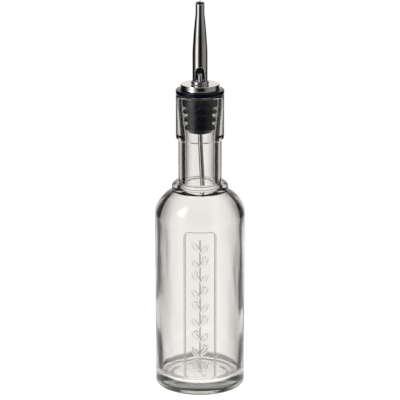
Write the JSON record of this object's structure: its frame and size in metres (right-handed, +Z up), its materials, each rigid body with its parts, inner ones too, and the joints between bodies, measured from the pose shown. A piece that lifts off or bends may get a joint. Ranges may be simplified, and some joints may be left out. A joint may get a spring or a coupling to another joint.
{
  "type": "glass oil bottle",
  "caption": "Round clear glass oil bottle with a framed panel on its front, a finned polymer stopper and a tapered metal pourer with a breather tube.",
  "frame": {"origin": "centre of the base, on the surface that the bottle stands on", "axes": "+Z up along the bottle's axis, -Y towards the front, where the framed panel and the spout's recess are"},
  "size_m": [0.059, 0.0596, 0.2554],
  "materials": {
    "clear_glass": "clear pressed glass, slightly wavy",
    "stopper_polymer": "black moulded polymer, semi-gloss",
    "polished_steel": "mirror-polished stainless steel",
    "tube_steel": "drawn steel tube"
  },
  "bodies": {
    "bottle": {"glass_bottle": "clear_glass"},
    "stopper": {"stopper": "stopper_polymer"},
    "pourer": {"cap_plate": "polished_steel", "stem_barrel": "polished_steel", "spout": "polished_steel", "spout_collar": "polished_steel", "breather_tube": "tube_steel"}
  },
  "joints": [
    {"name": "stopper_pull", "type": "slide", "parent": "bottle", "child": "stopper", "axis": [0, 0, 1], "range_m": [0, 0.066]},
    {"name": "pourer_turn", "type": "hinge", "parent": "stopper", "child": "pourer", "pos_m": [0, 0, 0.2], "axis": [0, 0, 1], "continuous": true}
  ]
}
